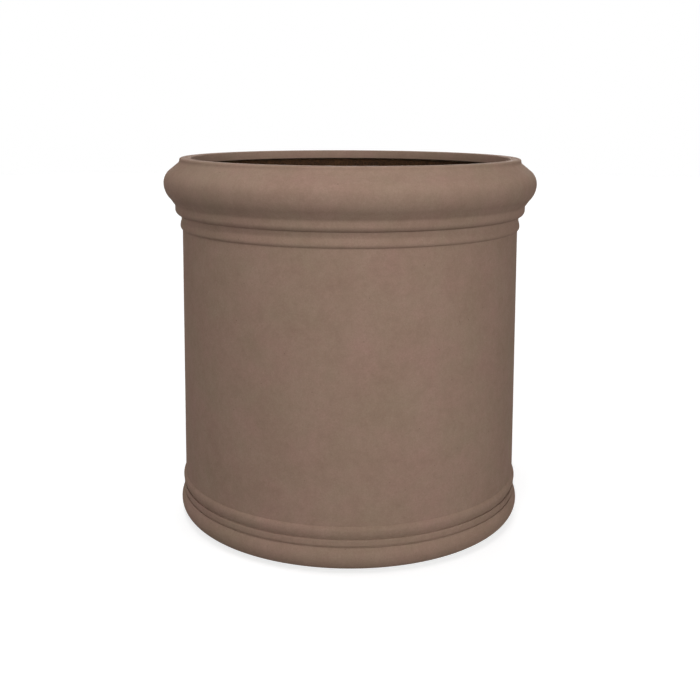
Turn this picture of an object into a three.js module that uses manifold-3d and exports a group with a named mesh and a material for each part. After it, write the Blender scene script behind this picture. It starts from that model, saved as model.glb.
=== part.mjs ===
// Tall round floor planter in hand-laid glass-fibre laminate: three mouldings bonded one on the other,
// a battened floor with a plugged drain, and rubber pads under the foot.
// Millimetres, +Z up. The origin is the centre of the circle that the pads stand on.

import * as THREE from 'three';
import { mergeVertices } from 'three/addons/utils/BufferGeometryUtils.js';
import Module from 'manifold-3d';

// ---- Driving dimensions ----

const mouldedHeight = 914; // lip top to the underside of the foot
const wallRadius = 429; // outside of the plain wall
const laminate = 6; // thickness of every moulded skin
const bond = 0.3; // adhesive line, or seating gap, between two pieces

// Rim, from the lip down. "Proud" is how far a form stands out from the plain wall.
const lipProud = 6.4;
const lipWidth = 28;
const lipCorner = 3;
const lipEdgeHeight = 5;
const skirtDepth = 22.5; // how far the skin returns down inside the mouth
const flareRadius = 11.3; // hollow between the lip and the roll
const flareAngle = 54;
const rollProud = 46;
const rollDepth = 61.8; // lip top to the widest point
const rollUpperRadius = 40;
const rollLowerRadius = 55.7;
const rollUnderAngle = 46;
const neckDepth = 121; // lip top to where the neck turns vertical
const neckFilletRadius = 12;
const neckBeadProud = 18;
const neckBeadHeight = 22; // from where the neck turns vertical to the underside of the bead
const neckBeadCorner = 15.5;

// Collar bead, moulded on the wall just under the rim
const collarSeatProud = 2.6; // ledge that the rim moulding sits on
const collarProud = 5.4;
const collarDrop = 27; // seat to the widest point
const collarUpperRadius = 36.7;
const collarLowerRadius = 9.8;

// Bead at the foot of the wall, and the bead under it on the base moulding
const hemProud = 5.7;
const hemRise = 94.5; // widest point above the underside of the foot
const hemUpperRadius = 13.7;
const hemLowerRadius = 30.9;
const hemFootProud = 1.5;
const grooveProud = -0.5;
const grooveHeight = 3;
const plinthBeadProud = 4.1;
const plinthBeadHeight = 16;
const plinthBeadCorner = 3;

// Rolled foot
const footProud = 11;
const footRollRadius = 34.3; // the roll stands this far above its underside
const footFlangeWidth = 55.7; // flat part under the foot, inside the roll

// Laminated straps, core and cove inside
const coreDepth = 26; // lip top to the top of the core
const skinLap = 40; // how far the rim's inner skin runs down over the wall
const strapLap = 40; // how far the base strap runs up over the wall
const coveRadius = 18;
const coveToe = 1.5;

// Floor
const bearerWidth = 45;
const bearerHeight = 28;
const bearerOffsets = [-260, -95, 95, 260];
const bearerEndGap = 5; // end of a batten to the start of the foot's roll
const panelThickness = 15;
const panelRebate = 1; // step down at the edge for the cove, and round the drain for its gasket
const gasketRecessClearance = 2;

// Drain
const drainBore = 18.5;
const drainTubeWall = 5.5;
const drainTubeBelowNut = 9;
const drainFlangeRadius = 45;
const drainFlangeThickness = 5;
const drainChamfer = 1.5;
const drainHoleClearance = 2;
const gasketThickness = 3;
const gasketInset = 1; // edge of the gasket inside the edge of the flange
const nutAcrossFlats = 66;
const nutHeight = 12;
const plugStemLength = 22;
const plugTaper = 1;
const plugCapOverlap = 5.5; // cap beyond the bore
const plugCapThickness = 5;
const pullNeckRadius = 5;
const pullNeckHeight = 8;
const pullKnobRadius = 10;
const pullKnobHeight = 6;
const pullKnobCorner = 2;

// Pads and their screws
const padCount = 6;
const padRadius = 18;
const padHeight = 5;
const padEdge = 1;
const padSetback = 28; // inner edge of the foot flange to the middle of a pad
const recessRadius = 7;
const recessDepth = 3;
const screwShankRadius = 2;
const screwHeadRadius = 4.5;
const screwHeadHeight = 2.2;
const screwBite = 8; // how far a screw runs past the flange

// Sides of the turned pieces
const ringSides = 48;
const drainSides = 24;
const padSides = 16;
const screwSides = 10;

// ---- Levels and radii that the pieces share ----

const footBottom = padHeight + bond;
const lipTop = footBottom + mouldedHeight;
const wallInner = wallRadius - laminate;
const lipRadius = wallRadius + lipProud;
const mouthRadius = lipRadius - lipWidth;
const neckZ = lipTop - neckDepth;
const rimBottom = neckZ - neckBeadHeight;
const hemZ = footBottom + hemRise;
const grooveRadius = wallRadius + grooveProud;
const footCentreRadius = wallRadius + footProud - footRollRadius;
const footCentreZ = footBottom + footRollRadius;
const footFlangeInner = footCentreRadius - footFlangeWidth;
const padCircleRadius = footFlangeInner + padSetback;
const flangeTop = footBottom + laminate;
const bearerTop = flangeTop + bond + bearerHeight;
const panelBottom = bearerTop + bond;
const panelTop = panelBottom + panelThickness;
const rebateZ = panelTop - panelRebate;
const linerRadius = wallInner - bond; // outside of every strap and of the floor panel
const strapInner = linerRadius - laminate;
const coveOuter = strapInner - bond;
const coveInner = coveOuter - coveToe - coveRadius;
const drainTubeRadius = drainBore + drainTubeWall;
const flangeSeat = rebateZ + bond + gasketThickness + bond;
const drainTop = flangeSeat + drainFlangeThickness;
const nutBottom = panelBottom - bond - nutHeight;

// ---- Finishes ----

const gelcoat = { color: 0x8b7566, roughness: 0.92, metalness: 0 };
const rawLaminate = { color: 0x3a2d24, roughness: 0.95, metalness: 0 };
const foam = { color: 0xc9b98e, roughness: 0.95, metalness: 0 };
const timber = { color: 0xa98457, roughness: 0.85, metalness: 0 };
const blackPlastic = { color: 0x26272a, roughness: 0.5, metalness: 0 };
const blackRubber = { color: 0x1d1c1b, roughness: 0.9, metalness: 0 };
const stainless = { color: 0xb9bcc0, roughness: 0.35, metalness: 1 };

// ---- Turned outlines: points are (radius, height) ----

function arc(centreR, centreZ, radius, fromDegrees, toDegrees, steps) {
  const points = [];
  for (let i = 0; i <= steps; i += 1) {
    const angle = THREE.MathUtils.degToRad(THREE.MathUtils.lerp(fromDegrees, toDegrees, i / steps));
    points.push(new THREE.Vector2(centreR + radius * Math.cos(angle), centreZ + radius * Math.sin(angle)));
  }
  return points;
}

function corner(r, z, radius, fromDegrees, toDegrees) {
  return arc(r, z, radius, fromDegrees, toDegrees, 2);
}

// Angle over which an arc of this radius falls from its widest point to a smaller radius
function fallAngle(drop, radius) {
  return THREE.MathUtils.radToDeg(Math.acos(1 - drop / radius));
}

function bead(peakR, peakZ, upperRadius, startR, lowerRadius, endR) {
  const rise = fallAngle(peakR - startR, upperRadius);
  const fall = fallAngle(peakR - endR, lowerRadius);
  return [
    ...arc(peakR - upperRadius, peakZ, upperRadius, rise, 0, 3),
    ...arc(peakR - lowerRadius, peakZ, lowerRadius, 0, -fall, 3).slice(1),
  ];
}

// The part of a falling outline between two heights, cut where it crosses them
function between(outline, highZ, lowZ) {
  const kept = outline.filter((p) => p.y < highZ && p.y > lowZ);
  return [radiusAt(outline, highZ), ...kept, radiusAt(outline, lowZ)];
}

function radiusAt(outline, z) {
  const next = outline.findIndex((p) => p.y <= z);
  if (next <= 0) {
    const end = next === 0 ? outline[0] : outline[outline.length - 1];
    return new THREE.Vector2(end.x, z);
  }
  const above = outline[next - 1];
  const below = outline[next];
  return new THREE.Vector2().lerpVectors(above, below, (above.y - z) / (above.y - below.y));
}

// Outside of the rim from under the lip to the neck, moved inwards by inset
function rollOutline(inset) {
  const rollRadius = wallRadius + rollProud;
  const neckRadius = wallRadius + neckBeadProud;
  const rollZ = lipTop - rollDepth;
  return [
    ...arc(lipRadius + flareRadius, lipTop - lipEdgeHeight, flareRadius + inset, 180, 180 + flareAngle, 2),
    ...arc(rollRadius - rollUpperRadius, rollZ, rollUpperRadius - inset, flareAngle, 0, 4),
    ...arc(rollRadius - rollLowerRadius, rollZ, rollLowerRadius - inset, 0, -rollUnderAngle, 4).slice(1),
    ...arc(neckRadius + neckFilletRadius, neckZ, neckFilletRadius + inset, 180 - rollUnderAngle, 180, 2),
  ];
}

function rimOutline() {
  const neckRadius = wallRadius + neckBeadProud;
  const beadCentreZ = rimBottom + neckBeadCorner;
  return [
    ...corner(mouthRadius + lipCorner, lipTop - lipCorner, lipCorner, 180, 90),
    ...corner(lipRadius - lipCorner, lipTop - lipCorner, lipCorner, 90, 0),
    ...rollOutline(0),
    ...arc(neckRadius - neckBeadCorner, beadCentreZ, neckBeadCorner, 0, -90, 3),
    new THREE.Vector2(wallRadius + bond, rimBottom),
    new THREE.Vector2(wallRadius + bond, neckZ),
    ...between(rollOutline(laminate), lipTop - laminate, neckZ).reverse(),
    new THREE.Vector2(mouthRadius + laminate, lipTop - laminate),
    new THREE.Vector2(mouthRadius + laminate, lipTop - skirtDepth),
    new THREE.Vector2(mouthRadius, lipTop - skirtDepth),
  ];
}

function coreOutline() {
  const top = lipTop - coreDepth;
  const bottom = neckZ + bond;
  return [
    new THREE.Vector2(wallInner, top),
    ...between(rollOutline(laminate + bond), top, bottom),
    new THREE.Vector2(wallInner, bottom),
  ];
}

function wallOutline() {
  const seatZ = rimBottom - bond;
  const seatRadius = wallRadius + collarSeatProud;
  const collarRadius = wallRadius + collarProud;
  const hemRadius = wallRadius + hemProud;
  const hemFootRadius = wallRadius + hemFootProud;
  const hem = bead(hemRadius, hemZ, hemUpperRadius, wallRadius, hemLowerRadius, hemFootRadius);
  return [
    new THREE.Vector2(wallInner, neckZ - bond),
    new THREE.Vector2(wallRadius, neckZ - bond),
    new THREE.Vector2(wallRadius, seatZ),
    new THREE.Vector2(seatRadius, seatZ),
    ...bead(collarRadius, seatZ - collarDrop, collarUpperRadius, seatRadius, collarLowerRadius, wallRadius),
    ...hem,
    new THREE.Vector2(wallInner, hem[hem.length - 1].y),
  ];
}

const wallBottom = wallOutline().at(-1).y;
const baseTop = wallBottom - bond;

function baseOutline() {
  const beadRadius = wallRadius + plinthBeadProud;
  const beadTop = baseTop - grooveHeight;
  const beadBottom = beadTop - plinthBeadHeight;
  const rollTop = beadBottom - grooveHeight;
  const startAngle = THREE.MathUtils.radToDeg(Math.asin((rollTop - footCentreZ) / footRollRadius));
  const innerRadius = footRollRadius - laminate;
  const innerStart = THREE.MathUtils.radToDeg(Math.acos((wallInner - footCentreRadius) / innerRadius));
  return [
    new THREE.Vector2(wallInner, baseTop),
    new THREE.Vector2(grooveRadius, baseTop),
    new THREE.Vector2(grooveRadius, beadTop),
    ...corner(beadRadius - plinthBeadCorner, beadTop - plinthBeadCorner, plinthBeadCorner, 90, 0),
    ...corner(beadRadius - plinthBeadCorner, beadBottom + plinthBeadCorner, plinthBeadCorner, 0, -90),
    new THREE.Vector2(grooveRadius, beadBottom),
    new THREE.Vector2(grooveRadius, rollTop),
    ...arc(footCentreRadius, footCentreZ, footRollRadius, startAngle, -90, 8),
    new THREE.Vector2(footFlangeInner, footBottom),
    new THREE.Vector2(footFlangeInner, flangeTop),
    ...arc(footCentreRadius, footCentreZ, innerRadius, -90, innerStart, 5),
  ];
}

function coveOutline() {
  const bottom = rebateZ + bond;
  const top = bottom + coveToe + coveRadius;
  return [
    new THREE.Vector2(coveOuter, bottom),
    new THREE.Vector2(coveOuter, top),
    ...arc(coveInner, top, coveRadius, 0, -90, 3),
    new THREE.Vector2(coveInner, bottom),
  ];
}

function panelOutline() {
  const hole = drainTubeRadius + drainHoleClearance;
  const recess = drainFlangeRadius + gasketRecessClearance;
  return [
    new THREE.Vector2(hole, panelBottom),
    new THREE.Vector2(linerRadius, panelBottom),
    new THREE.Vector2(linerRadius, rebateZ),
    new THREE.Vector2(coveInner - bond, rebateZ),
    new THREE.Vector2(coveInner - bond, panelTop),
    new THREE.Vector2(recess, panelTop),
    new THREE.Vector2(recess, rebateZ),
    new THREE.Vector2(hole, rebateZ),
  ];
}

function band(innerR, outerR, bottomZ, topZ) {
  return [
    new THREE.Vector2(innerR, bottomZ),
    new THREE.Vector2(outerR, bottomZ),
    new THREE.Vector2(outerR, topZ),
    new THREE.Vector2(innerR, topZ),
  ];
}

function drainOutline() {
  return [
    new THREE.Vector2(drainBore, nutBottom - drainTubeBelowNut),
    new THREE.Vector2(drainTubeRadius, nutBottom - drainTubeBelowNut),
    new THREE.Vector2(drainTubeRadius, flangeSeat),
    new THREE.Vector2(drainFlangeRadius, flangeSeat),
    new THREE.Vector2(drainFlangeRadius, drainTop - drainChamfer),
    new THREE.Vector2(drainFlangeRadius - drainChamfer, drainTop),
    new THREE.Vector2(drainBore, drainTop),
  ];
}

function plugOutline() {
  const capBottom = drainTop + bond;
  const capTop = capBottom + plugCapThickness;
  const knobBottom = capTop + pullNeckHeight;
  const knobTop = knobBottom + pullKnobHeight;
  const stemRadius = drainBore - bond;
  const capRadius = drainBore + plugCapOverlap;
  return [
    new THREE.Vector2(0, capBottom - plugStemLength),
    new THREE.Vector2(stemRadius - plugTaper, capBottom - plugStemLength),
    new THREE.Vector2(stemRadius, capBottom),
    new THREE.Vector2(capRadius, capBottom),
    new THREE.Vector2(capRadius, capTop),
    new THREE.Vector2(pullNeckRadius, capTop),
    new THREE.Vector2(pullNeckRadius, knobBottom),
    new THREE.Vector2(pullKnobRadius, knobBottom),
    ...corner(pullKnobRadius - pullKnobCorner, knobTop - pullKnobCorner, pullKnobCorner, 0, 90),
    new THREE.Vector2(0, knobTop),
  ];
}

function padOutline() {
  const hole = screwShankRadius + bond;
  return [
    new THREE.Vector2(recessRadius, 0),
    new THREE.Vector2(padRadius - padEdge, 0),
    new THREE.Vector2(padRadius, padEdge),
    new THREE.Vector2(padRadius, padHeight),
    new THREE.Vector2(hole, padHeight),
    new THREE.Vector2(hole, recessDepth),
    new THREE.Vector2(recessRadius, recessDepth),
  ];
}

function screwOutline() {
  const headTop = recessDepth - bond;
  const headBottom = headTop - screwHeadHeight;
  const crown = screwHeadHeight / 2;
  return [
    new THREE.Vector2(0, headBottom),
    new THREE.Vector2(screwHeadRadius - crown, headBottom),
    new THREE.Vector2(screwHeadRadius, headBottom + crown),
    new THREE.Vector2(screwHeadRadius, headTop),
    new THREE.Vector2(screwShankRadius, headTop),
    new THREE.Vector2(screwShankRadius, flangeTop + screwBite - screwShankRadius),
    new THREE.Vector2(0, flangeTop + screwBite),
  ];
}

// ---- Solids ----

// Turns an outline about +Z. One that doesn't start on the axis closes on itself.
function turned(outline, sides) {
  const points = outline.map((p) => p.clone());
  if (points[0].x > 0) {
    points.push(points[0].clone());
  }
  if (THREE.ShapeUtils.area(points) < 0) {
    points.reverse();
  }
  return new THREE.LatheGeometry(points, sides).rotateX(Math.PI / 2);
}

function piece(name, geometry, finish) {
  const mesh = new THREE.Mesh(geometry, new THREE.MeshStandardMaterial(finish));
  mesh.name = name;
  return mesh;
}

const wasm = await Module();
wasm.setup();

function toSolid(geometry) {
  const bare = geometry.clone();
  bare.deleteAttribute('normal');
  bare.deleteAttribute('uv');
  const merged = mergeVertices(bare, 1e-4);
  return new wasm.Manifold(new wasm.Mesh({
    numProp: 3,
    vertProperties: new Float32Array(merged.attributes.position.array),
    triVerts: new Uint32Array(merged.index.array),
  }));
}

function toGeometry(solid) {
  const mesh = solid.getMesh();
  const geometry = new THREE.BufferGeometry();
  geometry.setAttribute('position', new THREE.BufferAttribute(new Float32Array(mesh.vertProperties), 3));
  geometry.setIndex(new THREE.BufferAttribute(new Uint32Array(mesh.triVerts), 1));
  geometry.computeVertexNormals();
  return geometry;
}

// Places of the pads and their screws, evenly round the foot flange
const padPlaces = Array.from({ length: padCount }, (_, i) => {
  const angle = (2 * Math.PI * i) / padCount;
  return new THREE.Vector3(padCircleRadius * Math.cos(angle), padCircleRadius * Math.sin(angle), 0);
});

// The base moulding, drilled through its flange for the screws
function baseGeometry() {
  let solid = toSolid(turned(baseOutline(), ringSides));
  for (const place of padPlaces) {
    const drill = new THREE.CylinderGeometry(
      screwShankRadius + bond, screwShankRadius + bond, 3 * laminate, screwSides,
    );
    drill.rotateX(Math.PI / 2).translate(place.x, place.y, footBottom + laminate / 2);
    solid = solid.subtract(toSolid(drill));
  }
  return toGeometry(solid);
}

// A batten across the floor, its ends held inside the foot's roll
function bearerGeometry(offset) {
  const reach = footCentreRadius - bearerEndGap;
  const halfLength = Math.sqrt(reach ** 2 - (Math.abs(offset) + bearerWidth / 2) ** 2);
  const bar = new THREE.BoxGeometry(bearerWidth, 2 * halfLength, bearerHeight);
  return bar.translate(offset, 0, bearerTop - bearerHeight / 2);
}

function nutGeometry() {
  const cornerRadius = nutAcrossFlats / Math.sqrt(3);
  const shape = new THREE.Shape();
  for (let i = 0; i < 6; i += 1) {
    const angle = (i * Math.PI) / 3;
    shape[i ? 'lineTo' : 'moveTo'](cornerRadius * Math.cos(angle), cornerRadius * Math.sin(angle));
  }
  shape.closePath();
  const hole = new THREE.Path();
  hole.absarc(0, 0, drainTubeRadius + bond, 0, 2 * Math.PI, true);
  shape.holes.push(hole);
  const options = { depth: nutHeight, bevelEnabled: false, curveSegments: drainSides / 2 };
  return new THREE.ExtrudeGeometry(shape, options).translate(0, 0, nutBottom);
}

// ---- Assembly ----

const planter = new THREE.Group();

function rim() {
  const skin = band(strapInner, linerRadius, neckZ - bond - skinLap, lipTop - coreDepth);
  planter.add(
    piece('rim_moulding', turned(rimOutline(), ringSides), gelcoat),
    piece('rim_core', turned(coreOutline(), ringSides), foam),
    piece('rim_inner_skin', turned(skin, ringSides), rawLaminate),
  );
}

function wall() {
  planter.add(piece('body_wall', turned(wallOutline(), ringSides), gelcoat));
}

function base() {
  const strap = band(strapInner, linerRadius, rebateZ + bond, wallBottom + strapLap);
  planter.add(
    piece('base_moulding', baseGeometry(), gelcoat),
    piece('base_tabbing', turned(strap, ringSides), rawLaminate),
  );
}

function floor() {
  bearerOffsets.forEach((offset, i) => {
    planter.add(piece(`floor_bearer_${i + 1}`, bearerGeometry(offset), timber));
  });
  planter.add(
    piece('floor_panel', turned(panelOutline(), ringSides), rawLaminate),
    piece('floor_cove', turned(coveOutline(), ringSides), rawLaminate),
  );
}

function drain() {
  const gasketBottom = rebateZ + bond;
  const gasket = band(
    drainTubeRadius + bond, drainFlangeRadius - gasketInset, gasketBottom, gasketBottom + gasketThickness,
  );
  planter.add(
    piece('drain_body', turned(drainOutline(), drainSides), blackPlastic),
    piece('drain_gasket', turned(gasket, drainSides), blackRubber),
    piece('drain_lock_nut', nutGeometry(), blackPlastic),
    piece('drain_plug', turned(plugOutline(), drainSides), blackRubber),
  );
}

function feet() {
  padPlaces.forEach((place, i) => {
    const pad = piece(`foot_pad_${i + 1}`, turned(padOutline(), padSides), blackRubber);
    const screw = piece(`foot_screw_${i + 1}`, turned(screwOutline(), screwSides), stainless);
    for (const mesh of [pad, screw]) {
      mesh.position.copy(place);
      planter.add(mesh);
    }
  });
}

rim();
wall();
base();
floor();
drain();
feet();

export default planter;
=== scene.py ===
import math

import bmesh
import bpy
from mathutils import Matrix, Vector


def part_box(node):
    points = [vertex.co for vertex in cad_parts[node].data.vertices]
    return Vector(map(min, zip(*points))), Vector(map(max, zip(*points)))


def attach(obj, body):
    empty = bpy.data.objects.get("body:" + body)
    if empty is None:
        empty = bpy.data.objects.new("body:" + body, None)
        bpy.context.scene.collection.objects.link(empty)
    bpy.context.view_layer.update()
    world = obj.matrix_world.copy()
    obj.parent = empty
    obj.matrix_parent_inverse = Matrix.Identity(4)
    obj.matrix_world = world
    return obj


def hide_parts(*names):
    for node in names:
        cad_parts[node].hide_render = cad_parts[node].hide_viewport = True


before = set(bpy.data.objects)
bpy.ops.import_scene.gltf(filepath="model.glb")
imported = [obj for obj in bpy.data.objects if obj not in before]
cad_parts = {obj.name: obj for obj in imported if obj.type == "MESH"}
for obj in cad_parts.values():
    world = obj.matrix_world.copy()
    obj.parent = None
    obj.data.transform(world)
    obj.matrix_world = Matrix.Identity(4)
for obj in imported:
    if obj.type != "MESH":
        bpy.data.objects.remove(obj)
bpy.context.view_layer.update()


# ---- Rim moulding ----
# The rolled rim: a flat lip with a skirt turned down inside the mouth, a fat hollow roll, and a bead at
# its foot. Glass-fibre laminate, laid up by hand in a split mould and bonded down on the wall's collar.

MM = 0.001
SPIN_STEPS = 256
MERGE_DISTANCE = 0.01 * MM
CREASE_ANGLE = math.radians(38)


def corners(node):
    """The lowest and highest corner of a CAD node at rest, in mm."""
    return [[value / MM for value in corner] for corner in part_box(node)]


(_, _, RIM_BOTTOM), (ROLL_RADIUS, _, LIP_TOP) = corners("rim_moulding")
LAMINATE = 6.0
BOND = 0.3
ROLL_PROUD = 46.0
WALL_RADIUS = ROLL_RADIUS - ROLL_PROUD
WALL_INNER = WALL_RADIUS - LAMINATE

LIP_PROUD = 6.4
LIP_WIDTH = 28.0
LIP_CORNER = 3.0
LIP_EDGE_HEIGHT = 5.0
LIP_RADIUS = WALL_RADIUS + LIP_PROUD
MOUTH_RADIUS = LIP_RADIUS - LIP_WIDTH
SKIRT_DEPTH = 22.5
SKIRT_CORNER = 1.2
FLARE_RADIUS = 11.3
FLARE_ANGLE = 54.0
ROLL_DEPTH = 61.8
ROLL_UPPER_RADIUS = 40.0
ROLL_LOWER_RADIUS = 55.7
ROLL_UNDER_ANGLE = 46.0
NECK_DEPTH = 121.0
NECK_PROUD = 18.0
NECK_FILLET_RADIUS = 12.0
NECK_BEAD_CORNER = 15.5
NECK_Z = LIP_TOP - NECK_DEPTH
NECK_RADIUS = WALL_RADIUS + NECK_PROUD

WARM_PATCH = "#9c7e74"
OLIVE_PATCH = "#958372"
SPRAY_SPOT = "#7e6858"
SAND_GRAIN = "#705a4c"
PINHOLE_SHADE = "#55443a"
PATCH_SIZE = 120 * MM
SPRAY_SIZE = 140 * MM
GRIT_SIZE = 3 * MM
PINHOLE_CELL = 33 * MM
WAVE_SIZE = 70 * MM


def arc(centre_r, centre_z, radius, start, end, steps=12):
    """Points (radius, height) on an arc, its angles in degrees from straight outwards, up being +90."""
    angles = [math.radians(start + (end - start) * i / steps) for i in range(steps + 1)]
    return [(centre_r + radius * math.cos(a), centre_z + radius * math.sin(a)) for a in angles]


def roll_outline(inset):
    """The outside of the rim from under the lip to the neck, moved inwards by inset."""
    flare_z = LIP_TOP - LIP_EDGE_HEIGHT
    roll_z = LIP_TOP - ROLL_DEPTH
    upper_r = ROLL_RADIUS - ROLL_UPPER_RADIUS
    lower_r = ROLL_RADIUS - ROLL_LOWER_RADIUS
    neck_r = NECK_RADIUS + NECK_FILLET_RADIUS
    return (
        arc(LIP_RADIUS + FLARE_RADIUS, flare_z, FLARE_RADIUS + inset, 180, 180 + FLARE_ANGLE, 10)
        + arc(upper_r, roll_z, ROLL_UPPER_RADIUS - inset, FLARE_ANGLE, 0, 16)
        + arc(lower_r, roll_z, ROLL_LOWER_RADIUS - inset, 0, -ROLL_UNDER_ANGLE, 16)[1:]
        + arc(neck_r, NECK_Z, NECK_FILLET_RADIUS + inset, 180 - ROLL_UNDER_ANGLE, 180, 8)
    )


def clipped(outline, high, low):
    """The part of a falling outline between two heights, cut where it crosses them."""
    kept = [(r, z) for r, z in outline if low < z < high]
    ends = []
    for level in (high, low):
        above = [point for point in outline if point[1] > level] or outline[:1]
        below = [point for point in outline if point[1] <= level] or outline[-1:]
        (r0, z0), (r1, z1) = above[-1], below[0]
        share = (z0 - level) / (z0 - z1) if z0 > z1 else 0.0
        ends.append((r0 + share * (r1 - r0), level))
    return [ends[0]] + kept + [ends[1]]


def spun(name, material, outline, steps=SPIN_STEPS, centre=(0.0, 0.0), closed=True):
    """Turn an outline of (radius, height) points in mm once round an upright axis. An outline that
    isn't closed starts and ends on that axis."""
    bm = bmesh.new()
    points = [bm.verts.new((r * MM, 0.0, z * MM)) for r, z in outline]
    first = 0 if closed else 1
    edges = [bm.edges.new((points[i - 1], points[i])) for i in range(first, len(points))]
    bmesh.ops.spin(
        bm, geom=points + edges, cent=(0, 0, 0), axis=(0, 0, 1),
        angle=math.tau, steps=steps, use_merge=True,
    )
    bmesh.ops.remove_doubles(bm, verts=bm.verts, dist=MERGE_DISTANCE)
    bmesh.ops.recalc_face_normals(bm, faces=bm.faces)
    bmesh.ops.translate(bm, verts=bm.verts, vec=(centre[0] * MM, centre[1] * MM, 0.0))
    return finished(name, material, bm)


def finished(name, material, bm):
    """Write a bmesh to an object of its own, smooth but for its real edges."""
    mesh = bpy.data.meshes.new(name)
    bm.to_mesh(mesh)
    bm.free()
    mesh.shade_smooth()
    mesh.set_sharp_from_angle(angle=CREASE_ANGLE)
    mesh.materials.append(material)
    piece = bpy.data.objects.new(name, mesh)
    bpy.context.scene.collection.objects.link(piece)
    return piece


def linear(code):
    """A #rrggbb colour as linear RGBA."""
    channels = [int(code[i:i + 2], 16) / 255 for i in (1, 3, 5)]
    return tuple(c / 12.92 if c <= 0.04045 else ((c + 0.055) / 1.055) ** 2.4 for c in channels) + (1.0,)


def add_node(tree, kind, inputs=(), **settings):
    """Add a shader node with its settings; each input gets a value, or a link from another node."""
    node = tree.nodes.new("ShaderNode" + kind)
    for key, value in settings.items():
        setattr(node, key, value)
    for key, value in dict(inputs).items():
        if isinstance(value, bpy.types.NodeSocket):
            tree.links.new(value, node.inputs[key])
        else:
            node.inputs[key].default_value = value
    return node


def new_material(name):
    """A new material, with its node tree, its shader, and the place on the object that patterns follow."""
    material = bpy.data.materials.new(name)
    material.use_nodes = True
    tree = material.node_tree
    place = add_node(tree, "TexCoord").outputs["Object"]
    return material, tree, tree.nodes["Principled BSDF"], place


def stone_gelcoat():
    """Matt stone-look gelcoat: pigmented polyester sprayed in the mould, then sanded back. To the eye
    it is a dry brown with cloudy warm and olive patches, a fine sandy tooth and a few pinholes."""
    material, tree, shader, place = new_material("stone gelcoat, sanded")

    # Cloudy patches, where the pigment settled warm or olive
    cloud = add_node(
        tree, "TexNoise", {"Vector": place, "Scale": 1 / PATCH_SIZE, "Detail": 4.0, "Roughness": 0.65},
    )
    cloud_mask = add_node(tree, "MapRange", {0: cloud.outputs["Fac"], 1: 0.3, 2: 0.7})
    patches = add_node(
        tree, "Mix", {0: cloud_mask.outputs[0], 6: linear(WARM_PATCH), 7: linear(OLIVE_PATCH)},
        data_type="RGBA",
    )
    # Uneven spray, in lighter and darker spots of every size from 140 mm down to the 2 mm of its drops
    spray = add_node(
        tree, "TexNoise", {"Vector": place, "Scale": 1 / SPRAY_SIZE, "Detail": 6.0, "Roughness": 1.0},
    )
    spray_mask = add_node(tree, "MapRange", {0: spray.outputs["Fac"], 1: 0.15, 2: 0.85})
    toned = add_node(
        tree, "Mix", {0: spray_mask.outputs[0], 6: patches.outputs[2], 7: linear(SPRAY_SPOT)},
        data_type="RGBA",
    )
    # Sand in the gelcoat, real grit 0.5 mm, drawn at 3 mm so that it shows
    grit = add_node(
        tree, "TexNoise", {"Vector": place, "Scale": 1 / GRIT_SIZE, "Detail": 3.0, "Roughness": 0.6},
    )
    grit_mask = add_node(tree, "MapRange", {0: grit.outputs["Fac"], 1: 0.3, 2: 0.7, 4: 0.25})
    sanded = add_node(
        tree, "Mix", {0: grit_mask.outputs[0], 6: toned.outputs[2], 7: linear(SAND_GRAIN)},
        data_type="RGBA",
    )
    # Pinholes, drawn up to 3 mm wide so that they show, 120 mm or so from each other: a cell of the
    # pattern shows one only where its centre meets the surface
    holes = add_node(tree, "TexVoronoi", {"Vector": place, "Scale": 1 / PINHOLE_CELL, "Randomness": 1.0})
    hole_mask = add_node(
        tree, "MapRange", {0: holes.outputs["Distance"], 1: 0.025, 2: 0.045, 3: 0.6, 4: 0.0},
    )
    pitted = add_node(
        tree, "Mix", {0: hole_mask.outputs[0], 6: sanded.outputs[2], 7: linear(PINHOLE_SHADE)},
        data_type="RGBA",
    )
    tree.links.new(pitted.outputs[2], shader.inputs["Base Color"])

    # The tooth of the sand, with the soft waviness left by hand sanding
    wave = add_node(tree, "TexNoise", {"Vector": place, "Scale": 1 / WAVE_SIZE, "Detail": 1.0})
    wavy = add_node(tree, "Bump", {"Height": wave.outputs["Fac"], "Distance": 0.8 * MM, "Strength": 1.0})
    tooth = add_node(
        tree, "Bump",
        {"Height": grit.outputs["Fac"], "Distance": 0.3 * MM, "Normal": wavy.outputs["Normal"]},
    )
    sunk = add_node(
        tree, "Bump",
        {"Height": hole_mask.outputs[0], "Distance": 0.6 * MM, "Normal": tooth.outputs["Normal"]},
        invert=True,
    )
    tree.links.new(sunk.outputs["Normal"], shader.inputs["Normal"])
    dryness = add_node(tree, "MapRange", {0: grit.outputs["Fac"], 3: 0.82, 4: 0.96})
    tree.links.new(dryness.outputs[0], shader.inputs["Roughness"])
    shader.inputs["Specular IOR Level"].default_value = 0.04
    return material


GELCOAT = stone_gelcoat()

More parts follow.
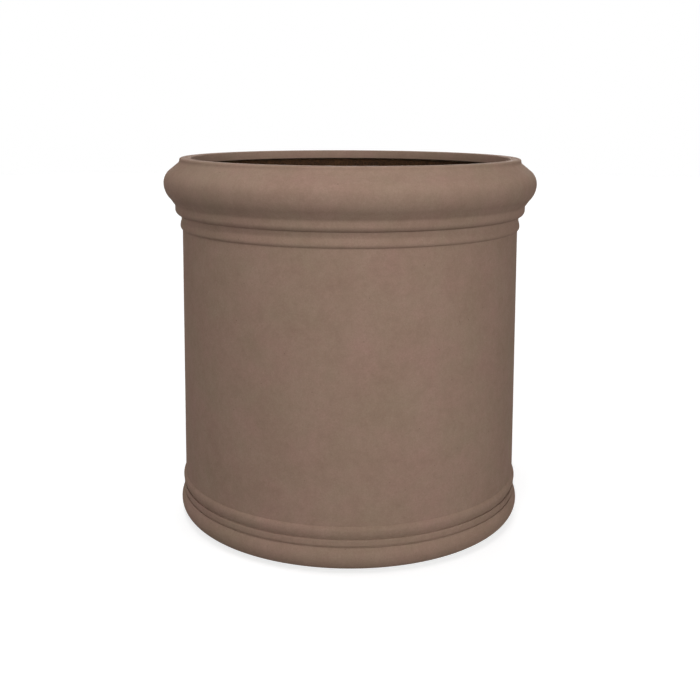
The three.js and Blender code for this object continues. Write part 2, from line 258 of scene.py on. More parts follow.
skirt_r = MOUTH_RADIUS + LAMINATE
skirt_corner_z = LIP_TOP - SKIRT_DEPTH + SKIRT_CORNER
rim = spun("rolled_rim", GELCOAT, (
    arc(MOUTH_RADIUS + LIP_CORNER, LIP_TOP - LIP_CORNER, LIP_CORNER, 180, 90, 6)
    + arc(LIP_RADIUS - LIP_EDGE_HEIGHT, LIP_TOP - LIP_EDGE_HEIGHT, LIP_EDGE_HEIGHT, 90, 0, 8)
    + roll_outline(0.0)
    + arc(NECK_RADIUS - NECK_BEAD_CORNER, RIM_BOTTOM + NECK_BEAD_CORNER, NECK_BEAD_CORNER, 0, -90, 12)
    + [(WALL_RADIUS + BOND, RIM_BOTTOM), (WALL_RADIUS + BOND, NECK_Z)]
    + clipped(roll_outline(LAMINATE), LIP_TOP - LAMINATE, NECK_Z)[::-1]
    + [(skirt_r, LIP_TOP - LAMINATE)]
    + arc(skirt_r - SKIRT_CORNER, skirt_corner_z, SKIRT_CORNER, 0, -90, 3)
    + arc(MOUTH_RADIUS + SKIRT_CORNER, skirt_corner_z, SKIRT_CORNER, -90, -180, 3)
))
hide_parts("rim_moulding")
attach(rim, "planter")


# ---- Rim core and the skin behind it ----
# A ring of rigid foam stiffens the hollow back of the roll. A skin of chopped-strand laminate is brushed
# on over it and runs down over the wall, so the rim and the wall become one inside.

(_, _, CORE_BOTTOM), (_, _, CORE_TOP) = corners("rim_core")
(_, _, SKIN_BOTTOM), (LINER_RADIUS, _, SKIN_TOP) = corners("rim_inner_skin")
STRAP_INNER = LINER_RADIUS - LAMINATE
SKIN_EDGE = 2.0

PALE_FOAM = "#c9b98e"
# Painted shade: the colour drawn into the sunk borders between the foam's cells
PORE_PAINTED_SHADE = "#a8966b"
FOAM_CELL = 1.5 * MM
THIN_RESIN = "#352314"
DEEP_RESIN = "#24160a"
GLASS_STRAND = "#5b3e27"
COARSE_STRAND_GAP = 14 * MM
FINE_STRAND_GAP = 9 * MM
STRAND_BEND = 12 * MM
BEND_SIZE = 20 * MM
POOL_SIZE = 60 * MM


def rigid_foam():
    """Cut polyurethane foam: pale yellow, open cells about 1.5 mm across, no gloss at all."""
    material, tree, shader, place = new_material("polyurethane foam, cut")
    cells = add_node(tree, "TexVoronoi", {"Vector": place, "Scale": 1 / FOAM_CELL})
    # The cells' sunk borders are drawn darker, as painted shade; the foam itself is an even pale yellow
    colour = add_node(
        tree, "Mix", {0: cells.outputs["Distance"], 6: linear(PALE_FOAM), 7: linear(PORE_PAINTED_SHADE)},
        data_type="RGBA",
    )
    tree.links.new(colour.outputs[2], shader.inputs["Base Color"])
    bump = add_node(tree, "Bump", {"Height": cells.outputs["Distance"], "Distance": 0.5 * MM}, invert=True)
    tree.links.new(bump.outputs["Normal"], shader.inputs["Normal"])
    shader.inputs["Roughness"].default_value = 0.95
    return material


def raw_laminate():
    """Brushed chopped-strand laminate, tinted dark: strands 50 mm long lie every way under a thin,
    uneven film of resin, which gives a hairy relief and patches of dull shine."""
    material, tree, shader, place = new_material("chopped-strand laminate, brushed")

    # Strands: the borders of two irregular cell patterns, 14 and 9 mm across, bent by a slow noise
    bend = add_node(tree, "TexNoise", {"Vector": place, "Scale": 1 / BEND_SIZE, "Detail": 2.0})
    bent = add_node(tree, "Mix", {0: STRAND_BEND, 4: place, 5: bend.outputs["Color"]}, data_type="VECTOR")
    coarse, fine = (
        add_node(
            tree, "TexVoronoi", {"Vector": bent.outputs[1], "Scale": 1 / gap}, feature="DISTANCE_TO_EDGE",
        )
        for gap in (COARSE_STRAND_GAP, FINE_STRAND_GAP)
    )
    nearest = add_node(
        tree, "Math", {0: coarse.outputs["Distance"], 1: fine.outputs["Distance"]}, operation="MINIMUM",
    )
    strands = add_node(tree, "MapRange", {0: nearest.outputs[0], 1: 0.0, 2: 0.09, 3: 1.0, 4: 0.0})

    # Resin, dull where it is thin and darker where it has pooled
    pools = add_node(
        tree, "TexNoise", {"Vector": place, "Scale": 1 / POOL_SIZE, "Detail": 5.0, "Roughness": 0.6},
    )
    pool_mask = add_node(tree, "MapRange", {0: pools.outputs["Fac"], 1: 0.35, 2: 0.65})
    resin = add_node(
        tree, "Mix", {0: pool_mask.outputs[0], 6: linear(THIN_RESIN), 7: linear(DEEP_RESIN)},
        data_type="RGBA",
    )
    strand_show = add_node(tree, "Math", {0: strands.outputs[0], 1: 0.45}, operation="MULTIPLY")
    colour = add_node(
        tree, "Mix", {0: strand_show.outputs[0], 6: resin.outputs[2], 7: linear(GLASS_STRAND)},
        data_type="RGBA",
    )
    tree.links.new(colour.outputs[2], shader.inputs["Base Color"])
    lumps = add_node(tree, "Bump", {"Height": pools.outputs["Fac"], "Distance": 4 * MM})
    hairs = add_node(
        tree, "Bump",
        {"Height": strands.outputs[0], "Distance": 0.6 * MM, "Normal": lumps.outputs["Normal"]},
    )
    tree.links.new(hairs.outputs["Normal"], shader.inputs["Normal"])
    shine = add_node(tree, "MapRange", {0: pool_mask.outputs[0], 3: 0.78, 4: 0.6})
    tree.links.new(shine.outputs[0], shader.inputs["Roughness"])
    shader.inputs["Specular IOR Level"].default_value = 0.1
    return material


FOAM = rigid_foam()
RAW_LAMINATE = raw_laminate()

core = spun("rim_foam_core", FOAM, [
    (WALL_INNER, CORE_TOP), *clipped(roll_outline(LAMINATE + BOND), CORE_TOP, CORE_BOTTOM),
    (WALL_INNER, CORE_BOTTOM),
])
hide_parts("rim_core")
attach(core, "planter")


def strap(name, bottom, top):
    """A laminated band on the inside of the wall, its free edges feathered by the brush."""
    return spun(name, RAW_LAMINATE, [
        (LINER_RADIUS, bottom), (LINER_RADIUS, top), (STRAP_INNER + SKIN_EDGE, top),
        (STRAP_INNER, top - SKIN_EDGE), (STRAP_INNER, bottom + SKIN_EDGE), (STRAP_INNER + SKIN_EDGE, bottom),
    ])


skin = strap("rim_skin", SKIN_BOTTOM, SKIN_TOP)
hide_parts("rim_inner_skin")
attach(skin, "planter")


# ---- Body wall ----
# The straight wall: one laminated tube with a soft collar bead under the rim and a hem bead at its foot.
# Sprayed gelcoat outside; inside the laminate is left as the roller left it.

(_, _, WALL_BOTTOM), (HEM_RADIUS, _, WALL_TOP) = corners("body_wall")
SEAT_PROUD = 2.6
SEAT_Z = RIM_BOTTOM - BOND
SEAT_RADIUS = WALL_RADIUS + SEAT_PROUD
COLLAR_PROUD = 5.4
COLLAR_RADIUS = WALL_RADIUS + COLLAR_PROUD
COLLAR_DROP = 27.0
COLLAR_UPPER_RADIUS = 36.7
COLLAR_LOWER_RADIUS = 9.8
HEM_UPPER_RADIUS = 13.7
HEM_LOWER_RADIUS = 30.9
HEM_FOOT_PROUD = 1.5
HEM_FOOT_RADIUS = WALL_RADIUS + HEM_FOOT_PROUD


def fall_angle(drop, radius):
    """How far round an arc, from its widest point, it has come in by drop."""
    return math.degrees(math.acos(1 - drop / radius))


def bead(peak_r, peak_z, upper_radius, start_r, lower_radius, end_r):
    """A bead of two arcs that meet at its widest point."""
    rise = fall_angle(peak_r - start_r, upper_radius)
    fall = fall_angle(peak_r - end_r, lower_radius)
    return (
        arc(peak_r - upper_radius, peak_z, upper_radius, rise, 0, 10)
        + arc(peak_r - lower_radius, peak_z, lower_radius, 0, -fall, 10)[1:]
    )


hem_fall = fall_angle(HEM_RADIUS - HEM_FOOT_RADIUS, HEM_LOWER_RADIUS)
hem_z = WALL_BOTTOM + HEM_LOWER_RADIUS * math.sin(math.radians(hem_fall))
wall = spun("straight_wall", GELCOAT, [
    (WALL_INNER, WALL_TOP), (WALL_RADIUS, WALL_TOP), (WALL_RADIUS, SEAT_Z), (SEAT_RADIUS, SEAT_Z),
    *bead(
        COLLAR_RADIUS, SEAT_Z - COLLAR_DROP,
        COLLAR_UPPER_RADIUS, SEAT_RADIUS, COLLAR_LOWER_RADIUS, WALL_RADIUS,
    ),
    *bead(HEM_RADIUS, hem_z, HEM_UPPER_RADIUS, WALL_RADIUS, HEM_LOWER_RADIUS, HEM_FOOT_RADIUS),
    (WALL_INNER, WALL_BOTTOM),
])
wall.data.materials.append(RAW_LAMINATE)
for face in wall.data.polygons:
    if face.center.xy.length < (WALL_INNER + BOND) * MM:
        face.material_index = 1
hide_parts("body_wall")
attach(wall, "planter")


# ---- Base moulding and its strap ----
# The foot: a small bead between a deep groove and a shallow one, then a roll that turns under into a
# flat flange. Moulded like the rim, butted on the wall's lower edge, and strapped to it inside.

(_, _, FOOT_BOTTOM), (_, _, BASE_TOP) = corners("base_moulding")
(_, _, TABBING_BOTTOM), (_, _, TABBING_TOP) = corners("base_tabbing")
FOOT_PROUD = 11.0
FOOT_ROLL_RADIUS = 34.3
FOOT_CENTRE_R = WALL_RADIUS + FOOT_PROUD - FOOT_ROLL_RADIUS
FOOT_CENTRE_Z = FOOT_BOTTOM + FOOT_ROLL_RADIUS
FLANGE_WIDTH = 55.7
FLANGE_INNER = FOOT_CENTRE_R - FLANGE_WIDTH
FLANGE_TOP = FOOT_BOTTOM + LAMINATE
GROOVE_HEIGHT = 3.0
UPPER_GROOVE_INSET = 0.5
UPPER_GROOVE_RADIUS = WALL_RADIUS - UPPER_GROOVE_INSET
LOWER_GROOVE_PROUD = 0.9
LOWER_GROOVE_RADIUS = WALL_RADIUS + LOWER_GROOVE_PROUD
PLINTH_BEAD_PROUD = 4.1
PLINTH_BEAD_RADIUS = WALL_RADIUS + PLINTH_BEAD_PROUD
PLINTH_BEAD_HEIGHT = 16.0
PLINTH_BEAD_CORNER = 3.0

bead_top = BASE_TOP - GROOVE_HEIGHT
bead_bottom = bead_top - PLINTH_BEAD_HEIGHT
roll_top = bead_bottom - GROOVE_HEIGHT
corner_r = PLINTH_BEAD_RADIUS - PLINTH_BEAD_CORNER
roll_start = math.degrees(math.asin((roll_top - FOOT_CENTRE_Z) / FOOT_ROLL_RADIUS))
inner_roll = FOOT_ROLL_RADIUS - LAMINATE
inner_start = math.degrees(math.acos((WALL_INNER - FOOT_CENTRE_R) / inner_roll))
base = spun("rolled_foot", GELCOAT, [
    (WALL_INNER, BASE_TOP), (UPPER_GROOVE_RADIUS, BASE_TOP), (UPPER_GROOVE_RADIUS, bead_top),
    *arc(corner_r, bead_top - PLINTH_BEAD_CORNER, PLINTH_BEAD_CORNER, 90, 0, 6),
    *arc(corner_r, bead_bottom + PLINTH_BEAD_CORNER, PLINTH_BEAD_CORNER, 0, -90, 6),
    (LOWER_GROOVE_RADIUS, bead_bottom), (LOWER_GROOVE_RADIUS, roll_top),
    *arc(FOOT_CENTRE_R, FOOT_CENTRE_Z, FOOT_ROLL_RADIUS, roll_start, -90, 32),
    (FLANGE_INNER, FOOT_BOTTOM), (FLANGE_INNER, FLANGE_TOP),
    *arc(FOOT_CENTRE_R, FOOT_CENTRE_Z, inner_roll, -90, inner_start, 20),
])
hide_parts("base_moulding")
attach(base, "planter")

base_strap = strap("base_strap", TABBING_BOTTOM, TABBING_TOP)
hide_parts("base_tabbing")
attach(base_strap, "planter")


# ---- Floor battens ----
# Four sawn softwood battens that lie across the foot's flange and carry the floor panel. Their edges
# are eased and they are sealed with a wipe of resin, so the grain shows.

BATTEN_COUNT = 4
BATTEN_EDGE = 1.5 * MM

PALE_WOOD = "#b08a5a"
DARK_WOOD = "#8a6238"
RING_BAND = 30 * MM
SAW_MARK = 2 * MM
GRAIN_STRETCH = 0.08


def sealed_softwood():
    """Sawn pine under a thin seal of resin: tan, with darker growth rings drawn out along the bar."""
    material, tree, shader, place = new_material("pine, sawn and sealed")
    along = add_node(tree, "Mapping", {"Vector": place, "Scale": (1.0, GRAIN_STRETCH, 1.0)})
    # Growth rings, a few mm apart in real pine, are drawn coarser so that they show: the wave repeats
    # after 0.63 of its band, so they lie about 19 mm apart across a bar, before they are distorted
    rings = add_node(
        tree, "TexWave",
        {
            "Vector": along.outputs[0], "Scale": 1 / RING_BAND, "Distortion": 6.0, "Detail": 3.0,
            "Detail Scale": 2.0,
        },
        bands_direction="DIAGONAL",
    )
    colour = add_node(
        tree, "Mix", {0: rings.outputs["Fac"], 6: linear(PALE_WOOD), 7: linear(DARK_WOOD)},
        data_type="RGBA",
    )
    tree.links.new(colour.outputs[2], shader.inputs["Base Color"])
    sawn = add_node(tree, "TexNoise", {"Vector": along.outputs[0], "Scale": 1 / SAW_MARK, "Detail": 2.0})
    bump = add_node(tree, "Bump", {"Height": sawn.outputs["Fac"], "Distance": 0.3 * MM})
    tree.links.new(bump.outputs["Normal"], shader.inputs["Normal"])
    shader.inputs["Roughness"].default_value = 0.6
    return material


SOFTWOOD = sealed_softwood()
for number in range(1, BATTEN_COUNT + 1):
    low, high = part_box(f"floor_bearer_{number}")
    bm = bmesh.new()
    bmesh.ops.create_cube(bm, size=1.0)
    bmesh.ops.scale(bm, vec=high - low, verts=bm.verts)
    bmesh.ops.translate(bm, vec=(low + high) / 2, verts=bm.verts)
    bmesh.ops.bevel(
        bm, geom=bm.edges[:], offset=BATTEN_EDGE, affect="EDGES", segments=2, profile=0.5, material=-1,
    )
    batten = finished(f"batten_{number}", SOFTWOOD, bm)
    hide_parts(f"floor_bearer_{number}")
    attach(batten, "planter")


# ---- Floor panel and cove ----
# The floor: a laminated disc, rebated at its edge and round the drain, and sealed to the wall with a
# cove of thickened resin run round the corner with a gloved finger.

(_, _, PANEL_BOTTOM), (_, _, PANEL_TOP) = corners("floor_panel")
(_, _, COVE_BOTTOM), _ = corners("floor_cove")
PANEL_HOLE = 26.0
PANEL_EDGE = 0.5
REBATE_DEPTH = 1.0
REBATE_Z = PANEL_TOP - REBATE_DEPTH
DRAIN_RECESS = 47.0
COVE_OUTER = STRAP_INNER - BOND
COVE_TOE = 1.5
COVE_RADIUS = 18.0
COVE_INNER = COVE_OUTER - COVE_TOE - COVE_RADIUS
REBATE_RADIUS = COVE_INNER - BOND

panel = spun("floor_disc", RAW_LAMINATE, [
    (PANEL_HOLE, PANEL_BOTTOM), (LINER_RADIUS, PANEL_BOTTOM), (LINER_RADIUS, REBATE_Z),
    (REBATE_RADIUS, REBATE_Z), (REBATE_RADIUS, PANEL_TOP - PANEL_EDGE),
    (REBATE_RADIUS - PANEL_EDGE, PANEL_TOP), (DRAIN_RECESS + PANEL_EDGE, PANEL_TOP),
    (DRAIN_RECESS, PANEL_TOP - PANEL_EDGE), (DRAIN_RECESS, REBATE_Z), (PANEL_HOLE, REBATE_Z),
])
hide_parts("floor_panel")
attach(panel, "planter")

cove_top = COVE_BOTTOM + COVE_TOE + COVE_RADIUS
cove = spun("floor_cove_fillet", RAW_LAMINATE, [
    (COVE_OUTER, COVE_BOTTOM), (COVE_OUTER, cove_top),
    *arc(COVE_INNER, cove_top, COVE_RADIUS, 0, -90, 12),
    (COVE_INNER, COVE_BOTTOM),
])
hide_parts("floor_cove")
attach(cove, "planter")


# ---- Drain fitting ----
# A flanged outlet in injection-moulded plastic, sealed by a rubber washer under its flange and pulled
# down by a hex lock nut under the floor.

(_, _, DRAIN_BOTTOM), (DRAIN_FLANGE, _, DRAIN_TOP) = corners("drain_body")
(_, _, GASKET_BOTTOM), (GASKET_OUTER, _, GASKET_TOP) = corners("drain_gasket")
(_, _, NUT_BOTTOM), (NUT_CORNER, _, NUT_TOP) = corners("drain_lock_nut")
DRAIN_STEPS = 96
DRAIN_BORE = 18.5
DRAIN_WALL = 5.5
DRAIN_TUBE = DRAIN_BORE + DRAIN_WALL
FLANGE_THICKNESS = 5.0
DRAIN_SEAT = DRAIN_TOP - FLANGE_THICKNESS
DRAIN_EDGE = 1.5
THREAD_LEAD_IN = 1.5
THREAD_PITCH = 2.5
THREAD_DEPTH = 0.8
THREAD_ROOT = DRAIN_TUBE - THREAD_DEPTH
THREAD_START = DRAIN_BOTTOM + THREAD_LEAD_IN
GASKET_HOLE = DRAIN_TUBE + BOND
NUT_SIDES = 6
NUT_HOLE_SIDES = 48
NUT_EDGE = 1.2
NUT_BEVEL_ANGLE = math.radians(50)

BLACK_PLASTIC = "#232427"
GREY_PLASTIC = "#2e2f32"
SPARK_TEXTURE = 0.8 * MM
BLACK_RUBBER = "#1b1a19"
CHALKY_BLOOM = "#33302e"
BLOOM_SIZE = 12 * MM
RUBBER_TEXTURE = 1 * MM


def moulded_plastic():
    """Injection-moulded polypropylene, black: an even spark-eroded texture with a low, broad sheen."""
    material, tree, shader, place = new_material("polypropylene, moulded")
    # The texture, well under 1 mm on a real moulding, is drawn at 0.8 mm so that it shows up close
    texture = add_node(tree, "TexNoise", {"Vector": place, "Scale": 1 / SPARK_TEXTURE, "Detail": 1.0})
    colour = add_node(
        tree, "Mix", {0: texture.outputs["Fac"], 6: linear(BLACK_PLASTIC), 7: linear(GREY_PLASTIC)},
        data_type="RGBA",
    )
    tree.links.new(colour.outputs[2], shader.inputs["Base Color"])
    bump = add_node(tree, "Bump", {"Height": texture.outputs["Fac"], "Distance": 0.1 * MM})
    tree.links.new(bump.outputs["Normal"], shader.inputs["Normal"])
    shader.inputs["Roughness"].default_value = 0.45
    shader.inputs["Specular IOR Level"].default_value = 0.35
    return material


def moulded_rubber():
    """Moulded EPDM rubber: near black, with a chalky bloom in patches and no clear highlight."""
    material, tree, shader, place = new_material("EPDM rubber, moulded")
    bloom = add_node(
        tree, "TexNoise", {"Vector": place, "Scale": 1 / BLOOM_SIZE, "Detail": 5.0, "Roughness": 0.7},
    )
    bloom_mask = add_node(tree, "MapRange", {0: bloom.outputs["Fac"], 1: 0.4, 2: 0.75})
    colour = add_node(
        tree, "Mix", {0: bloom_mask.outputs[0], 6: linear(BLACK_RUBBER), 7: linear(CHALKY_BLOOM)},
        data_type="RGBA",
    )
    tree.links.new(colour.outputs[2], shader.inputs["Base Color"])
    # The fine grain of a moulded skin is drawn coarse, at 1 mm, so that it shows up close
    texture = add_node(tree, "TexNoise", {"Vector": place, "Scale": 1 / RUBBER_TEXTURE})
    bump = add_node(tree, "Bump", {"Height": texture.outputs["Fac"], "Distance": 0.1 * MM})
    tree.links.new(bump.outputs["Normal"], shader.inputs["Normal"])
    shader.inputs["Roughness"].default_value = 0.8
    shader.inputs["Specular IOR Level"].default_value = 0.2
    return material


PLASTIC = moulded_plastic()
RUBBER = moulded_rubber()


def thread_rings(root_r, crest_r, start_z, pitch, turns):
    """The side of a thread, drawn as rings: a root and a crest for each turn, and a last root."""
    points = []
    for turn in range(turns):
        root_z = start_z + turn * pitch
        points += [(root_r, root_z), (crest_r, root_z + pitch / 2)]
    return points + [(root_r, start_z + turns * pitch)]


drain_turns = int((PANEL_BOTTOM - THREAD_START) / THREAD_PITCH)
drain = spun("drain_outlet", PLASTIC, [
    (DRAIN_BORE, DRAIN_BOTTOM), (THREAD_ROOT, DRAIN_BOTTOM),
    *thread_rings(THREAD_ROOT, DRAIN_TUBE, THREAD_START, THREAD_PITCH, drain_turns),
    (THREAD_ROOT, DRAIN_SEAT), (DRAIN_FLANGE, DRAIN_SEAT),
    *arc(DRAIN_FLANGE - DRAIN_EDGE, DRAIN_TOP - DRAIN_EDGE, DRAIN_EDGE, 0, 90, 4),
    *arc(DRAIN_BORE + DRAIN_EDGE, DRAIN_TOP - DRAIN_EDGE, DRAIN_EDGE, 90, 180, 4),
], DRAIN_STEPS)
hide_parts("drain_body")
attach(drain, "planter")

gasket_mid = (GASKET_BOTTOM + GASKET_TOP) / 2
gasket_half = (GASKET_TOP - GASKET_BOTTOM) / 2
gasket = spun("drain_washer", RUBBER, [
    (GASKET_HOLE, GASKET_BOTTOM),
    *arc(GASKET_OUTER - gasket_half, gasket_mid, gasket_half, -90, 90, 6),
    (GASKET_HOLE, GASKET_TOP),
], DRAIN_STEPS)
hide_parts("drain_gasket")
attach(gasket, "planter")

# The nut starts as a hexagon with a round hole, bridged, raised, and its corners eased
bm = bmesh.new()
outer = bmesh.ops.create_circle(bm, segments=NUT_SIDES, radius=NUT_CORNER * MM)["verts"]
bmesh.ops.rotate(bm, verts=outer, cent=(0, 0, 0), matrix=Matrix.Rotation(math.pi / 2, 3, "Z"))
bmesh.ops.subdivide_edges(bm, edges=bm.edges[:], cuts=NUT_HOLE_SIDES // NUT_SIDES - 1)
bmesh.ops.create_circle(bm, segments=NUT_HOLE_SIDES, radius=GASKET_HOLE * MM)
bmesh.ops.bridge_loops(bm, edges=bm.edges[:])
raised = bmesh.ops.extrude_face_region(bm, geom=bm.faces[:])
tops = [item for item in raised["geom"] if isinstance(item, bmesh.types.BMVert)]
bmesh.ops.translate(bm, verts=tops, vec=(0, 0, (NUT_TOP - NUT_BOTTOM) * MM))
bmesh.ops.recalc_face_normals(bm, faces=bm.faces)
sharp = [edge for edge in bm.edges if len(edge.link_faces) == 2 and edge.calc_face_angle() > NUT_BEVEL_ANGLE]
bmesh.ops.bevel(
    bm, geom=sharp, offset=NUT_EDGE * MM, affect="EDGES", segments=3, profile=0.5, material=-1,
)
bmesh.ops.translate(bm, verts=bm.verts, vec=(0, 0, NUT_BOTTOM * MM))
nut = finished("drain_nut", PLASTIC, bm)
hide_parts("drain_lock_nut")
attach(nut, "planter")


# ---- Drain plug ----
# A rubber bung pushed into the outlet from above: a tapered stem with two sealing rings, a cap that
# stops on the flange, and a knob to pull it out by.

(_, _, PLUG_BOTTOM), (PLUG_CAP, _, PLUG_TOP) = corners("drain_plug")
CAP_THICKNESS = 5.0
CAP_CORNER = 1.5
CAP_BOTTOM = DRAIN_TOP + BOND
CAP_TOP = CAP_BOTTOM + CAP_THICKNESS
STEM_RADIUS = DRAIN_BORE - BOND
STEM_TAPER = 1.0
STEM_WAIST = 1.2
STEM_NOSE = 2.0
RING_SPACING = 7.0
RING_HEIGHT = 3.0
KNOB_NECK = 5.0
KNOB_NECK_FOOT = 2.0
KNOB_NECK_HEAD = 1.5
KNOB_RADIUS = 10.0
KNOB_HEIGHT = 6.0
KNOB_UNDER_CORNER = 1.0
KNOB_CORNER = 2.0

rings = []
for ring in (1, 2):
    ring_z = PLUG_BOTTOM + ring * RING_SPACING
    ring_r = STEM_RADIUS - STEM_TAPER * (CAP_BOTTOM - ring_z) / (CAP_BOTTOM - PLUG_BOTTOM)
    rings += [
        (ring_r - STEM_WAIST, ring_z - RING_HEIGHT / 2), (ring_r, ring_z - RING_HEIGHT / 6),
        (ring_r, ring_z + RING_HEIGHT / 6), (ring_r - STEM_WAIST, ring_z + RING_HEIGHT / 2),
    ]
stem_low = STEM_RADIUS - STEM_TAPER
knob_bottom = PLUG_TOP - KNOB_HEIGHT
plug = spun("rubber_bung", RUBBER, [
    (0.0, PLUG_BOTTOM), (stem_low - STEM_NOSE, PLUG_BOTTOM),
    (stem_low - STEM_WAIST, PLUG_BOTTOM + STEM_NOSE), *rings,
    (STEM_RADIUS - STEM_WAIST, CAP_BOTTOM), (PLUG_CAP, CAP_BOTTOM),
    *arc(PLUG_CAP - CAP_CORNER, CAP_TOP - CAP_CORNER, CAP_CORNER, 0, 90, 4),
    *arc(KNOB_NECK + KNOB_NECK_FOOT, CAP_TOP + KNOB_NECK_FOOT, KNOB_NECK_FOOT, -90, -180, 4),
    *arc(KNOB_NECK + KNOB_NECK_HEAD, knob_bottom - KNOB_NECK_HEAD, KNOB_NECK_HEAD, 180, 90, 4),
    *arc(KNOB_RADIUS - KNOB_UNDER_CORNER, knob_bottom + KNOB_UNDER_CORNER, KNOB_UNDER_CORNER, -90, 0, 3),
    *arc(KNOB_RADIUS - KNOB_CORNER, PLUG_TOP - KNOB_CORNER, KNOB_CORNER, 0, 90, 5),
    (0.0, PLUG_TOP),
], DRAIN_STEPS, closed=False)
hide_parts("drain_plug")
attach(plug, "plug")


# ---- Foot pads and screws ----
# Six rubber pads under the flange keep the foot off wet ground. A stainless pan-head screw, sunk in
# each pad's recess, holds it.

PAD_COUNT = 6
PAD_STEPS = 64
PAD_EDGE = 1.0
PAD_RADIUS = corners("foot_pad_1")[1][1]
RECESS_RADIUS = 7.0
RECESS_DEPTH = 3.0
SCREW_HOLE = 2.3
SCREW_STEPS = 32
SCREW_PITCH = 1.4
SHANK_RADIUS = 2.0
SCREW_THREAD_DEPTH = 0.4
SHANK_ROOT = SHANK_RADIUS - SCREW_THREAD_DEPTH
HEAD_RADIUS = 4.5
HEAD_CROWN = 1.1

BRIGHT_STEEL = "#cfd1d3"
GREY_STEEL = "#b4b6b8"
TOOL_STREAK = 2 * MM
STREAK_STRETCH = 12.0


def stainless_steel():
    """Cold-headed stainless steel: bright grey, faintly streaked round its axis by the tooling."""
    material, tree, shader, place = new_material("stainless steel, cold-headed")
    streak = add_node(tree, "Mapping", {"Vector": place, "Scale": (1.0, 1.0, STREAK_STRETCH)})
    # Tool marks: noise 2 mm across, squeezed to 0.17 mm along the screw's axis
    noise = add_node(
        tree, "TexNoise", {"Vector": streak.outputs[0], "Scale": 1 / TOOL_STREAK, "Detail": 2.0},
    )
    colour = add_node(
        tree, "Mix", {0: noise.outputs["Fac"], 6: linear(GREY_STEEL), 7: linear(BRIGHT_STEEL)},
        data_type="RGBA",
    )
    tree.links.new(colour.outputs[2], shader.inputs["Base Color"])
    rough = add_node(tree, "MapRange", {0: noise.outputs["Fac"], 3: 0.25, 4: 0.4})
    tree.links.new(rough.outputs[0], shader.inputs["Roughness"])
    shader.inputs["Metallic"].default_value = 1.0
    return material


STEEL = stainless_steel()
for number in range(1, PAD_COUNT + 1):
    low, high = corners(f"foot_pad_{number}")
    middle = ((low[0] + high[0]) / 2, (low[1] + high[1]) / 2)
    pad_bottom, pad_top = low[2], high[2]
    pad = spun(f"rubber_pad_{number}", RUBBER, [
        (RECESS_RADIUS, pad_bottom),
        *arc(PAD_RADIUS - PAD_EDGE, pad_bottom + PAD_EDGE, PAD_EDGE, -90, 0, 4),
        (PAD_RADIUS, pad_top), (SCREW_HOLE, pad_top),
        (SCREW_HOLE, pad_bottom + RECESS_DEPTH), (RECESS_RADIUS, pad_bottom + RECESS_DEPTH),
    ], PAD_STEPS, middle)
    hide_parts(f"foot_pad_{number}")
    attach(pad, "planter")

    (_, _, head_bottom), (_, _, tip) = corners(f"foot_screw_{number}")
    head_top = head_bottom + 2 * HEAD_CROWN
    screw_turns = int((tip - SHANK_RADIUS - head_top) / SCREW_PITCH)
    screw = spun(f"pad_screw_{number}", STEEL, [
        (0.0, head_bottom),
        *arc(HEAD_RADIUS - HEAD_CROWN, head_bottom + HEAD_CROWN, HEAD_CROWN, -90, 0, 4),
        (HEAD_RADIUS, head_top),
        *thread_rings(SHANK_ROOT, SHANK_RADIUS, head_top, SCREW_PITCH, screw_turns),
        (0.0, tip),
    ], SCREW_STEPS, middle, closed=False)
    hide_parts(f"foot_screw_{number}")
    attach(screw, "planter")


# ---- Studio ----
# A sheet of pale paper under the planter, in an evenly white room. Broad lamps stand low all round it,
# one hangs overhead, and a softbox high in front of it lights the rim more than the foot.

PAPER_RADIUS = 14.0
PAPER_SIDES = 128
PAPER_GLOW = 1.35
PAPER_MATT_SHARE = 0.45
PAPER_WHITE = "#ffffff"
PAPER_GREY = "#909090"
ROOM_FILL = 0.04
LAMP_SPREAD = math.radians(30)
PLANTER_MIDDLE = Vector((0.0, 0.0, 0.5))


def seen_directly(tree):
    """1 where the camera sees a surface itself, or in metal or glass, and 0 where it only lights."""
    rays = add_node(tree, "LightPath")
    direct = add_node(
        tree, "Math", {0: rays.outputs["Is Camera Ray"], 1: rays.outputs["Is Glossy Ray"]},
        operation="MAXIMUM",
    )
    return add_node(
        tree, "Math", {0: direct.outputs[0], 1: rays.outputs["Is Transmission Ray"]}, operation="MAXIMUM",
    ).outputs[0]


def matt_paper():
    """Uncoated white paper: even white to the eye, with a faint shadow, and mid grey as a reflector, so
    that it lights the planter only a little from below."""
    material = bpy.data.materials.new("paper, matt white")
    material.use_nodes = True
    tree = material.node_tree
    tree.nodes.remove(tree.nodes["Principled BSDF"])
    glow = add_node(tree, "Emission", {"Color": linear(PAPER_WHITE), "Strength": PAPER_GLOW})
    white = add_node(tree, "BsdfDiffuse", {"Color": linear(PAPER_WHITE)})
    bright = add_node(tree, "MixShader", {0: PAPER_MATT_SHARE, 1: glow.outputs[0], 2: white.outputs[0]})
    grey = add_node(tree, "BsdfDiffuse", {"Color": linear(PAPER_GREY)})
    surface = add_node(
        tree, "MixShader", {0: seen_directly(tree), 1: grey.outputs[0], 2: bright.outputs[0]},
    )
    tree.links.new(surface.outputs[0], tree.nodes["Material Output"].inputs["Surface"])
    return material


bm = bmesh.new()
bmesh.ops.create_circle(bm, cap_ends=True, segments=PAPER_SIDES, radius=PAPER_RADIUS)
finished("studio_floor", matt_paper(), bm)

world = bpy.data.worlds.new("soft studio")
bpy.context.scene.world = world
world.use_nodes = True
backdrop = world.node_tree.nodes["Background"]
backdrop.inputs["Color"].default_value = linear(PAPER_WHITE)
level = add_node(world.node_tree, "MapRange", {0: seen_directly(world.node_tree), 3: ROOM_FILL, 4: 1.0})
world.node_tree.links.new(level.outputs[0], backdrop.inputs["Strength"])


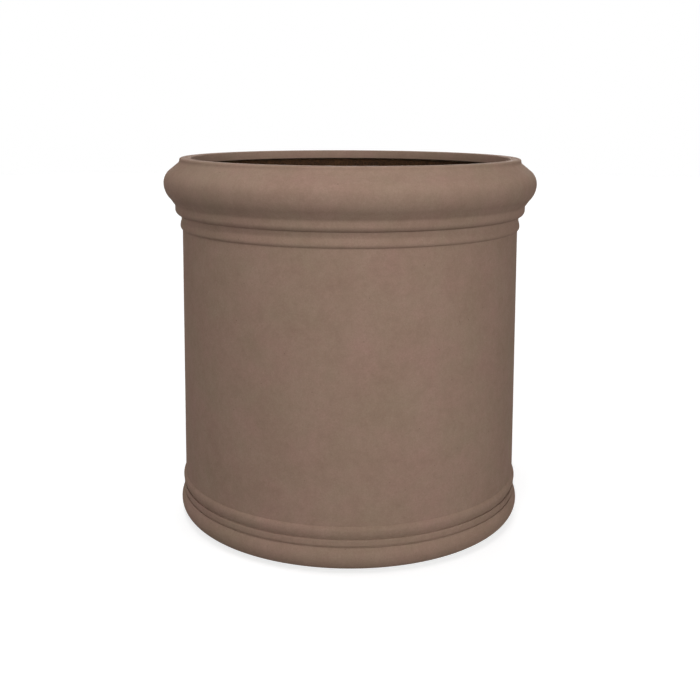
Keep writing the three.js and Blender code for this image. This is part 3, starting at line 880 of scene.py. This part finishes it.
def far_lamp(name, azimuth, elevation, level):
    """A broad lamp a long way off. At level 1 a surface that faces it shows its own colour."""
    light = bpy.data.lights.new(name, "SUN")
    light.energy = level * math.pi
    light.angle = LAMP_SPREAD
    source = bpy.data.objects.new(name, light)
    turn = Matrix.Rotation(math.radians(azimuth), 4, "Z")
    tilt = Matrix.Rotation(math.radians(90 - elevation), 4, "X")
    source.matrix_world = turn @ tilt
    bpy.context.scene.collection.objects.link(source)


def softbox(name, place, width, level):
    """A round softbox aimed at the planter's middle, its level as it is there."""
    light = bpy.data.lights.new(name, "AREA")
    light.shape = "DISK"
    light.size = width
    aim = PLANTER_MIDDLE - Vector(place)
    light.energy = level * math.pi ** 2 * aim.length_squared
    source = bpy.data.objects.new(name, light)
    source.matrix_world = Matrix.Translation(place) @ aim.to_track_quat("-Z", "Y").to_matrix().to_4x4()
    source.visible_camera = False
    bpy.context.scene.collection.objects.link(source)


far_lamp("front_left", azimuth=-20, elevation=5, level=0.43)
far_lamp("front_right", azimuth=35, elevation=5, level=0.46)
far_lamp("right", azimuth=55, elevation=25, level=0.17)
far_lamp("back_left", azimuth=-110, elevation=25, level=0.2)
far_lamp("back", azimuth=175, elevation=15, level=0.55)
far_lamp("overhead", azimuth=0, elevation=90, level=0.24)
softbox("front_softbox", place=(-0.33, -1.87, 3.0), width=0.9, level=0.27)

# The camera stands 2.55 m in front of the planter's axis and 0.12 m above its lip, with a lens near
# 51 mm. The shift puts the planter in the middle of the picture although the camera is tipped down
# only a little.
CAMERA_BACK = 2.552
CAMERA_ABOVE_LIP = 0.1207
CAMERA_PITCH = math.radians(6.51)
CAMERA_ROLL = math.radians(0.245)
CAMERA_LENS = 50.79
SENSOR_WIDTH = 36.0
FRAME_SHIFT = -0.182

camera_data = bpy.data.cameras.new("camera")
camera_data.sensor_width = SENSOR_WIDTH
camera_data.lens = CAMERA_LENS
camera_data.shift_y = FRAME_SHIFT
camera = bpy.data.objects.new("camera", camera_data)
camera.matrix_world = (
    Matrix.Translation((0.0, -CAMERA_BACK, LIP_TOP * MM + CAMERA_ABOVE_LIP))
    @ Matrix.Rotation(math.pi / 2 - CAMERA_PITCH, 4, "X")
    @ Matrix.Rotation(CAMERA_ROLL, 4, "Z")
)
bpy.context.scene.collection.objects.link(camera)
bpy.context.scene.camera = camera
bpy.context.scene.view_settings.view_transform = "Standard"
